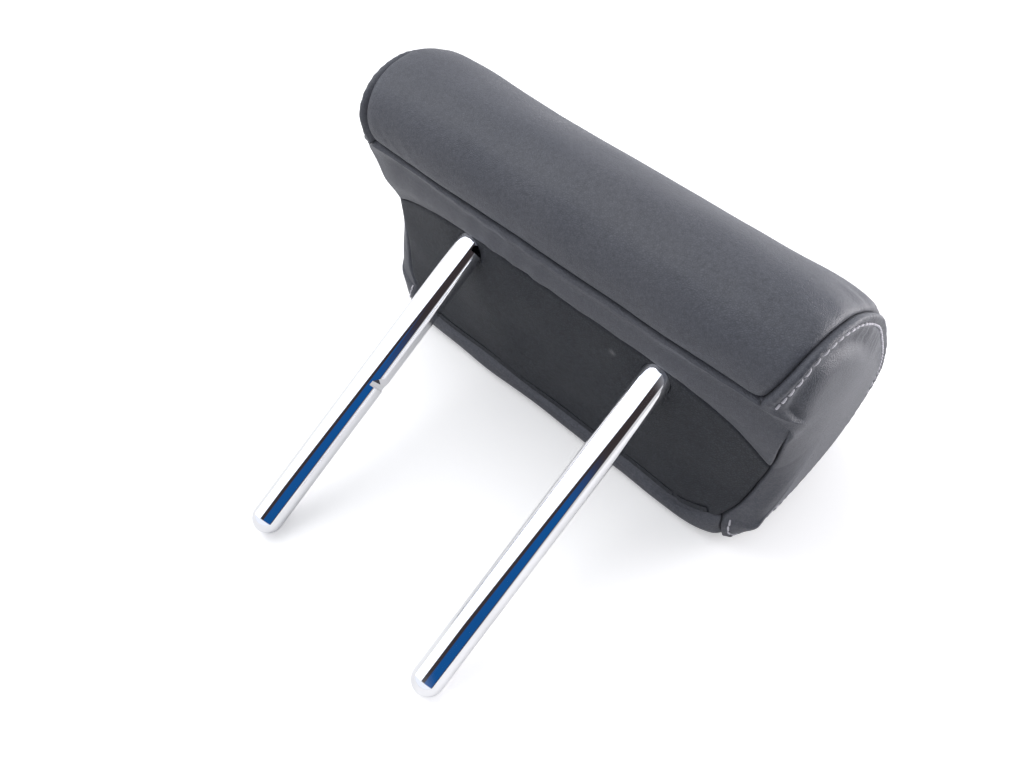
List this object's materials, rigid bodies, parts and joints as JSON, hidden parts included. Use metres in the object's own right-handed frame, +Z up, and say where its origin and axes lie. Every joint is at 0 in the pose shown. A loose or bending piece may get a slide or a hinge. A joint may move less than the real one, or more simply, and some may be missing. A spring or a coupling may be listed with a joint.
{
  "type": "car headrest",
  "caption": "Padded leather headrest for a car's rear seat, with a front that hangs lower than the back and round chromed posts that slide into the seat.",
  "frame": {"origin": "midway between the two posts, level with their lower ends", "axes": "+Z up along the posts towards the head part, +Y towards the front of the headrest, where the head leans, +X across the width"},
  "size_m": [0.226, 0.1583, 0.2289],
  "materials": {
    "cover_leather": "soft satin grain",
    "base_leather": "matte coarse grain",
    "foam": "open cell, matte",
    "chrome": "mirror",
    "black_plastic": "as moulded",
    "screw_steel": "zinc plated",
    "thread": "twisted sewing thread"
  },
  "bodies": {
    "root": {"wrap_panel": "cover_leather", "lip_panel": "cover_leather", "side_panel_left": "cover_leather", "side_panel_right": "cover_leather", "base_panel": "base_leather", "foam_pad": "foam", "post_rod": "chrome", "carrier_rear": "black_plastic", "carrier_front": "black_plastic", "carrier_screw_lower_left": "screw_steel", "carrier_screw_upper_left": "screw_steel", "carrier_screw_lower_right": "screw_steel", "carrier_screw_upper_right": "screw_steel", "closing_strip_base": "black_plastic", "closing_strip_wrap": "black_plastic", "topstitch_left": "thread", "topstitch_right": "thread"}
  },
  "joints": []
}
